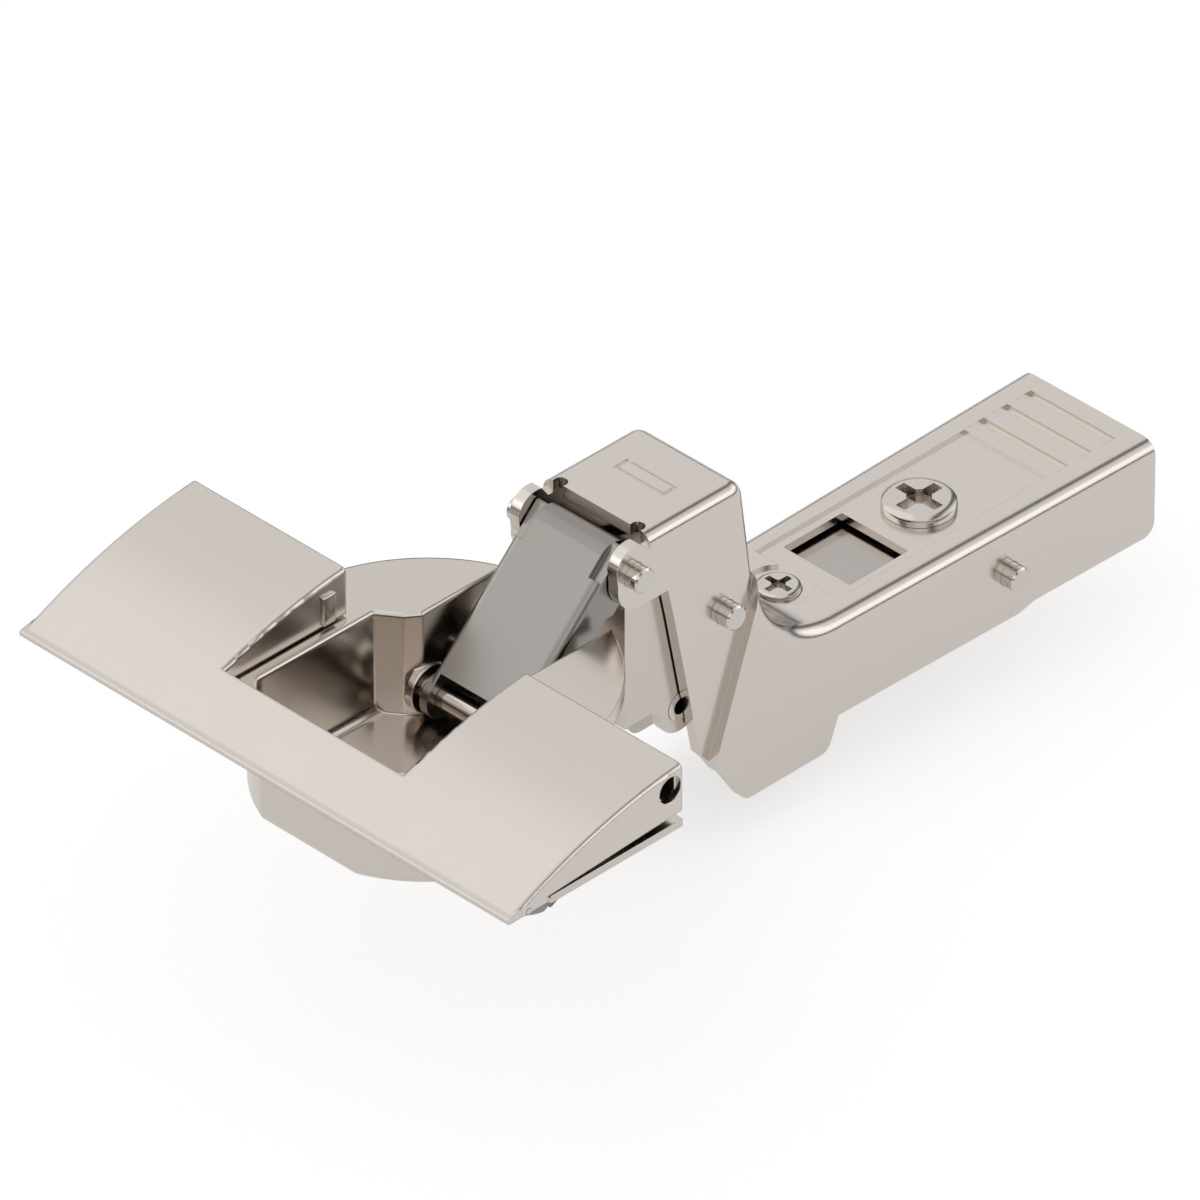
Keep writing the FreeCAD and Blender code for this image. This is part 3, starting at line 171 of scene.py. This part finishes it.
arm_nickel = finish("arm_nickel", NICKEL, 0.19, edge=0.05)
lever_nickel = finish("lever_nickel", NICKEL, 0.24, tint_spread=0.07, depth=0.02, edge=0.28)
# The base plate, the inner link and the clip lever take the darker, shaded copy of the nickel,
# which is painted shade.
plate_nickel_painted_shade = finish("plate_nickel_painted_shade", NICKEL_PAINTED_SIDE_SHADE, 0.22)
cup_nickel = finish("cup_nickel", CAST_NICKEL, 0.2, depth=0.02, edge=0.35)
# The outer link's material carries painted shade in its darkened nickel.
link_nickel_painted_shade = finish("link_nickel_painted_shade", LINK_NICKEL_PAINTED_SHADE, 0.26)
inner_link_nickel_painted_shade = finish("inner_link_nickel_painted_shade", NICKEL_PAINTED_SIDE_SHADE, 0.2)
pin_steel = finish("pin_steel", PIN_STEEL, 0.14, tint_spread=0.02, edge=0.03)
screw_steel = finish("screw_steel", PIN_STEEL, 0.15, tint_spread=0.03, edge=0.06)
carrier_steel = finish("carrier_steel", CARRIER_NICKEL, 0.18)
spring_steel = finish("spring_steel", SPRING_STEEL, 0.3)
dowel_plastic = finish("dowel_plastic", DOWEL_PLASTIC, 0.5, metallic=0.0, depth=0.05)

NODE_FINISHES = {
    "hinge_arm": arm_nickel,
    "locking_lever": lever_nickel,
    "base_plate": plate_nickel_painted_shade,
    "hinge_cup": cup_nickel,
    "outer_link": link_nickel_painted_shade,
    "inner_link": inner_link_nickel_painted_shade,
    "link_rivet": pin_steel,
    "outer_cup_pin": pin_steel,
    "inner_cup_pin": pin_steel,
    "lever_pin_left": pin_steel,
    "lever_pin_right": pin_steel,
    "spreader_left": pin_steel,
    "spreader_right": pin_steel,
    "nose_pin": pin_steel,
    "rear_pin": pin_steel,
    "clip_pin": pin_steel,
    "clip_rivet": pin_steel,
    "depth_cam": screw_steel,
    "side_screw": screw_steel,
    "clip_carrier": carrier_steel,
    "clip_lever": plate_nickel_painted_shade,
    "clip_spring": spring_steel,
    "dowel_left": dowel_plastic,
    "dowel_right": dowel_plastic,
}
for node_name, node_finish in NODE_FINISHES.items():
    for material_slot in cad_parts[node_name].material_slots:
        material_slot.material = node_finish


# Pieces
SHARP_ANGLE = math.radians(32)
RING_POINTS = 72


def add_piece(name, shape, body, material):
    """Makes a piece of a bmesh, which moves with a body of the hinge."""
    mesh = bpy.data.meshes.new(name)
    bmesh.ops.recalc_face_normals(shape, faces=shape.faces)
    for face in shape.faces:
        face.smooth = True
    shape.to_mesh(mesh)
    shape.free()
    mesh.set_sharp_from_angle(angle=SHARP_ANGLE)
    mesh.materials.append(material)
    piece = bpy.data.objects.new(name, mesh)
    bpy.context.scene.collection.objects.link(piece)
    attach(piece, body)
    return piece


def ring(shape, x, radius, z):
    """Points round the screw's axis."""
    points = []
    for step in range(RING_POINTS):
        turn = 2.0 * math.pi * step / RING_POINTS
        place = (x + radius * math.cos(turn), radius * math.sin(turn), z)
        points.append(shape.verts.new(place))
    return points


def loop_edges(shape, points):
    """Closed loop of edges through the points."""
    return [shape.edges.new((points[i - 1], points[i])) for i in range(len(points))]


def skin(shape, low, high):
    """Faces between two loops of as many points."""
    for i in range(len(low)):
        shape.faces.new((low[i - 1], low[i], high[i], high[i - 1]))


# Screws as they are seen from above. Sizes are in millimetres, turned outlines are (radius, z).
# The cross has four arms of a reach and half width; its inner corners are cut off at a web.
CROSS_TAPER = 0.82
DEPTH_CAM = {
    "x": 67.65,
    "stem": [(2.2, -15.5), (2.2, -13.5), (2.5, -13.5), (2.5, -12.42)],
    "crown": [(3.8, -12.42), (3.8, -11.86), (3.72, -11.62), (3.45, -11.40), (3.1, -11.28)],
    "rim": (2.95, -11.25),
    "cross_reach": 2.7,
    "cross_half": 0.62,
    "cross_web": 1.15,
    "cross_depth": 1.5,
}
SIDE_SCREW = {
    "x": 48.0,
    "stem": [(1.8, -17.2), (2.3, -16.7), (2.3, -15.25), (1.2, -15.25), (1.2, -13.75),
             (2.3, -13.75)],
    "crown": [(2.3, -12.30), (2.22, -12.08), (2.0, -11.95)],
    "rim": (1.85, -11.90),
    "cross_reach": 1.6,
    "cross_half": 0.36,
    "cross_web": 0.62,
    "cross_depth": 1.0,
}


def cross_corners(screw):
    """Outline of the cross recess, round the screw's axis."""
    reach, half, web = (screw[key] * MM for key in ("cross_reach", "cross_half", "cross_web"))
    corners = []
    for quarter in range(4):
        turn = Matrix.Rotation(math.radians(90 * quarter), 3, "Z")
        for along, across in ((reach, -half), (reach, half), (web, half), (half, web)):
            corners.append(turn @ Vector((along, across, 0.0)))
    return corners


def cross_screw(name, node, screw):
    """A turned screw with a deep cross, which stands for the plain one of the CAD."""
    shape = bmesh.new()
    x = screw["x"] * MM
    loops = [ring(shape, x, radius * MM, z * MM) for radius, z in screw["stem"] + screw["crown"]]
    for low, high in zip(loops, loops[1:]):
        skin(shape, low, high)
    shape.faces.new(loops[0][::-1])
    top_radius, top = screw["rim"]
    rim = ring(shape, x, top_radius * MM, top * MM)
    skin(shape, loops[-1], rim)
    bottom = top - screw["cross_depth"]
    lips, floors = [], []
    for corner in cross_corners(screw):
        lips.append(shape.verts.new((x + corner.x, corner.y, top * MM)))
        foot = (x + corner.x * CROSS_TAPER, corner.y * CROSS_TAPER, bottom * MM)
        floors.append(shape.verts.new(foot))
    rim_edges = [edge for edge in shape.edges if edge.verts[0] in rim and edge.verts[1] in rim]
    bmesh.ops.triangle_fill(shape, edges=rim_edges + loop_edges(shape, lips),
                            use_beauty=True, normal=(0, 0, 1))
    skin(shape, lips, floors)
    shape.faces.new(floors)
    piece = add_piece(name, shape, node, screw_steel)
    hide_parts(node)


cross_screw("depth_cam_look", "depth_cam", DEPTH_CAM)
cross_screw("side_screw_look", "side_screw", SIDE_SCREW)

# Tab on the lever's inner skirts, next to the cup, and lip along the back of its wings, in
# millimetres. The centres are given for the left wing.
TAB = {"size": (1.7, 0.6, 3.4), "centre": (-1.35, 12.05, 3.75), "round": 0.14}
LIP = {"size": (0.35, 20.0, 4.95), "centre": (0.875, 22.7, 4.425), "round": 0.12}


def lever_block(name, side, block):
    """Rounded block of the lever; side is 1 for the left wing and -1 for the right one."""
    shape = bmesh.new()
    bmesh.ops.create_cube(shape, size=1.0)
    x, y, z = block["centre"]
    bmesh.ops.scale(shape, vec=[length * MM for length in block["size"]], verts=shape.verts)
    bmesh.ops.translate(shape, vec=(x * MM, side * y * MM, z * MM), verts=shape.verts)
    bmesh.ops.bevel(shape, geom=list(shape.edges), offset=block["round"] * MM, segments=3,
                    profile=0.5, affect="EDGES")
    add_piece(name, shape, "lever", lever_nickel)


lever_block("lever_tab_left", 1.0, TAB)
lever_block("lever_tab_right", -1.0, TAB)
lever_block("lever_lip_left", 1.0, LIP)
lever_block("lever_lip_right", -1.0, LIP)


# Floor, light and camera
# The floor is clear of the arm's lowest point, at the end of its swing.
FLOOR_Z = cad_box[0][2] - 4.5 * MM
FLOOR_SIZE = 12.0
FLOOR_GREY = (0.8, 0.8, 0.8, 1.0)
FLOOR_GLOW = 0.60
FLOOR_GLOW_MIRRORED = 0.72

# Sky: its plain level, and its level for what metal mirrors
SKY_LEVEL = 0.6
SKY_MIRRORED = 1.12
# Stops are (place, level): by height, and by side, which is 1 at the right of the picture.
SKY_STOPS = ((0.0, 0.03), (0.07, 0.05), (0.17, 0.80), (0.30, 1.0), (1.0, 1.0))
GAP_STOPS = ((0.0, 1.0), (0.28, 1.0), (0.40, 0.22), (0.52, 0.22), (0.64, 1.0))
STRIP_SIDE_STOPS = ((0.0, 0.0), (0.66, 0.0), (0.78, 1.0))
STRIP_HEIGHT_STOPS = ((0.0, 0.0), (0.14, 0.0), (0.22, 0.75), (0.50, 0.75), (0.62, 0.0))

# Lamps that look at the hinge: place, side of the square and power
LAMPS = (("key", (-0.7, 0.9, 1.5), 2.2, 3.0), ("fill", (-0.9, -1.4, 0.9), 1.4, 1.5))

# Camera: focal length in mm, distance, shift in the picture, and height of the aim
CAMERA_LENS = 577.8
CAMERA_DISTANCE = 1.840
CAMERA_RIGHT = 0.01657
CAMERA_UP = 0.00688
AIM_HEIGHT = 0.0017


def mirrored_rays(nodes, links, rays):
    """1 for glossy and transmitted rays, 0 for the others."""
    return math_node(nodes, links, "MAXIMUM",
                     rays.outputs["Is Glossy Ray"], rays.outputs["Is Transmission Ray"])


def floor_material():
    """Pale floor that reads as white to the camera and keeps its shadows."""
    material = bpy.data.materials.new("pale_floor")
    material.use_nodes = True
    nodes, links = material.node_tree.nodes, material.node_tree.links
    nodes.clear()
    matt = nodes.new("ShaderNodeBsdfDiffuse")
    matt.inputs["Color"].default_value = FLOOR_GREY
    rays = nodes.new("ShaderNodeLightPath")
    mirrored = math_node(nodes, links, "MULTIPLY",
                         mirrored_rays(nodes, links, rays), FLOOR_GLOW_MIRRORED)
    seen = math_node(nodes, links, "MAXIMUM", rays.outputs["Is Camera Ray"], mirrored)
    glow = nodes.new("ShaderNodeEmission")
    links.new(math_node(nodes, links, "MULTIPLY", seen, FLOOR_GLOW), glow.inputs["Strength"])
    both = nodes.new("ShaderNodeAddShader")
    links.new(matt.outputs[0], both.inputs[0])
    links.new(glow.outputs[0], both.inputs[1])
    out = nodes.new("ShaderNodeOutputMaterial")
    links.new(both.outputs[0], out.inputs["Surface"])
    return material


def set_floor():
    """Wide level floor of the studio, which isn't part of the hinge."""
    mesh = bpy.data.meshes.new("floor")
    shape = bmesh.new()
    bmesh.ops.create_grid(shape, x_segments=1, y_segments=1, size=0.5)
    bmesh.ops.scale(shape, vec=(FLOOR_SIZE, FLOOR_SIZE, 1.0), verts=shape.verts)
    bmesh.ops.translate(shape, vec=(0.0, 0.0, FLOOR_Z), verts=shape.verts)
    shape.to_mesh(mesh)
    shape.free()
    mesh.materials.append(floor_material())
    floor = bpy.data.objects.new("floor", mesh)
    bpy.context.scene.collection.objects.link(floor)


def level_ramp(nodes, links, value, stops):
    """Grey level that follows a value through the given stops."""
    ramp = nodes.new("ShaderNodeValToRGB")
    ramp.color_ramp.interpolation = "EASE"
    elements = ramp.color_ramp.elements
    for element, (place, level) in zip(elements, (stops[0], stops[-1])):
        element.position = place
        element.color = (level, level, level, 1.0)
    for place, level in stops[1:-1]:
        elements.new(place).color = (level, level, level, 1.0)
    links.new(value, ramp.inputs["Fac"])
    return ramp.outputs["Color"]


def blend(nodes, links, factor, low, high):
    """The low value where the factor is 0 and the high one where it is 1."""
    node = nodes.new("ShaderNodeMapRange")
    links.new(factor, node.inputs["Value"])
    for socket, value in (("To Min", low), ("To Max", high)):
        if isinstance(value, float):
            node.inputs[socket].default_value = value
        else:
            links.new(value, node.inputs[socket])
    return node.outputs["Result"]


def set_world():
    """Even light all round, white to the camera. What metal mirrors has a dim band low down, a
    dim gap to the right and a bright strip at each side.
    """
    world = bpy.data.worlds.new("studio")
    bpy.context.scene.world = world
    world.use_nodes = True
    nodes, links = world.node_tree.nodes, world.node_tree.links
    nodes.clear()
    towards = nodes.new("ShaderNodeTexCoord").outputs["Generated"]
    parts = nodes.new("ShaderNodeSeparateXYZ")
    links.new(towards, parts.inputs[0])
    up = parts.outputs["Z"]
    across = nodes.new("ShaderNodeVectorMath")
    across.operation = "DOT_PRODUCT"
    across.inputs[1].default_value = (0.7071, -0.7071, 0.0)
    links.new(towards, across.inputs[0])
    side = across.outputs["Value"]

    height = math_node(nodes, links, "MULTIPLY",
                       level_ramp(nodes, links, up, SKY_STOPS), SKY_MIRRORED)
    plain = math_node(nodes, links, "MULTIPLY", height, level_ramp(nodes, links, side, GAP_STOPS))
    either_side = math_node(nodes, links, "ABSOLUTE", side)
    strip = math_node(nodes, links, "MULTIPLY",
                      level_ramp(nodes, links, either_side, STRIP_SIDE_STOPS),
                      level_ramp(nodes, links, up, STRIP_HEIGHT_STOPS))
    level = math_node(nodes, links, "ADD", plain, strip)

    rays = nodes.new("ShaderNodeLightPath")
    mirrored = blend(nodes, links, mirrored_rays(nodes, links, rays), SKY_LEVEL, level)
    seen = blend(nodes, links, rays.outputs["Is Camera Ray"], mirrored, 1.0)
    sky = nodes.new("ShaderNodeBackground")
    links.new(seen, sky.inputs["Strength"])
    out = nodes.new("ShaderNodeOutputWorld")
    links.new(sky.outputs[0], out.inputs["Surface"])


def soft_lamp(name, place, size, power):
    """Large square lamp that looks at the hinge."""
    lamp = bpy.data.lights.new(name, "AREA")
    lamp.shape = "RECTANGLE"
    lamp.size = size
    lamp.size_y = size
    lamp.energy = power
    holder = bpy.data.objects.new(name, lamp)
    bpy.context.scene.collection.objects.link(holder)
    holder.location = place
    holder.rotation_euler = (-Vector(place)).to_track_quat("-Z", "Y").to_euler()


def set_camera():
    """Long lens that looks down one corner of the frame, as the photograph does."""
    back = Vector((-1.0, -1.0, 1.0)).normalized()
    right = Vector((1.0, -1.0, 0.0)).normalized()
    up = back.cross(right)
    lens = bpy.data.cameras.new("camera")
    lens.lens = CAMERA_LENS
    lens.sensor_width = 36.0
    lens.clip_end = 50.0
    camera = bpy.data.objects.new("camera", lens)
    bpy.context.scene.collection.objects.link(camera)
    camera.location = (back * CAMERA_DISTANCE + right * CAMERA_RIGHT + up * CAMERA_UP
                       + Vector((0.0, 0.0, AIM_HEIGHT)))
    camera.rotation_euler = Matrix((right, up, back)).transposed().to_euler()
    bpy.context.scene.camera = camera


set_floor()
set_world()
for lamp_name, lamp_place, lamp_size, lamp_power in LAMPS:
    soft_lamp(lamp_name, lamp_place, lamp_size, lamp_power)
set_camera()
bpy.context.scene.view_settings.view_transform = "Standard"
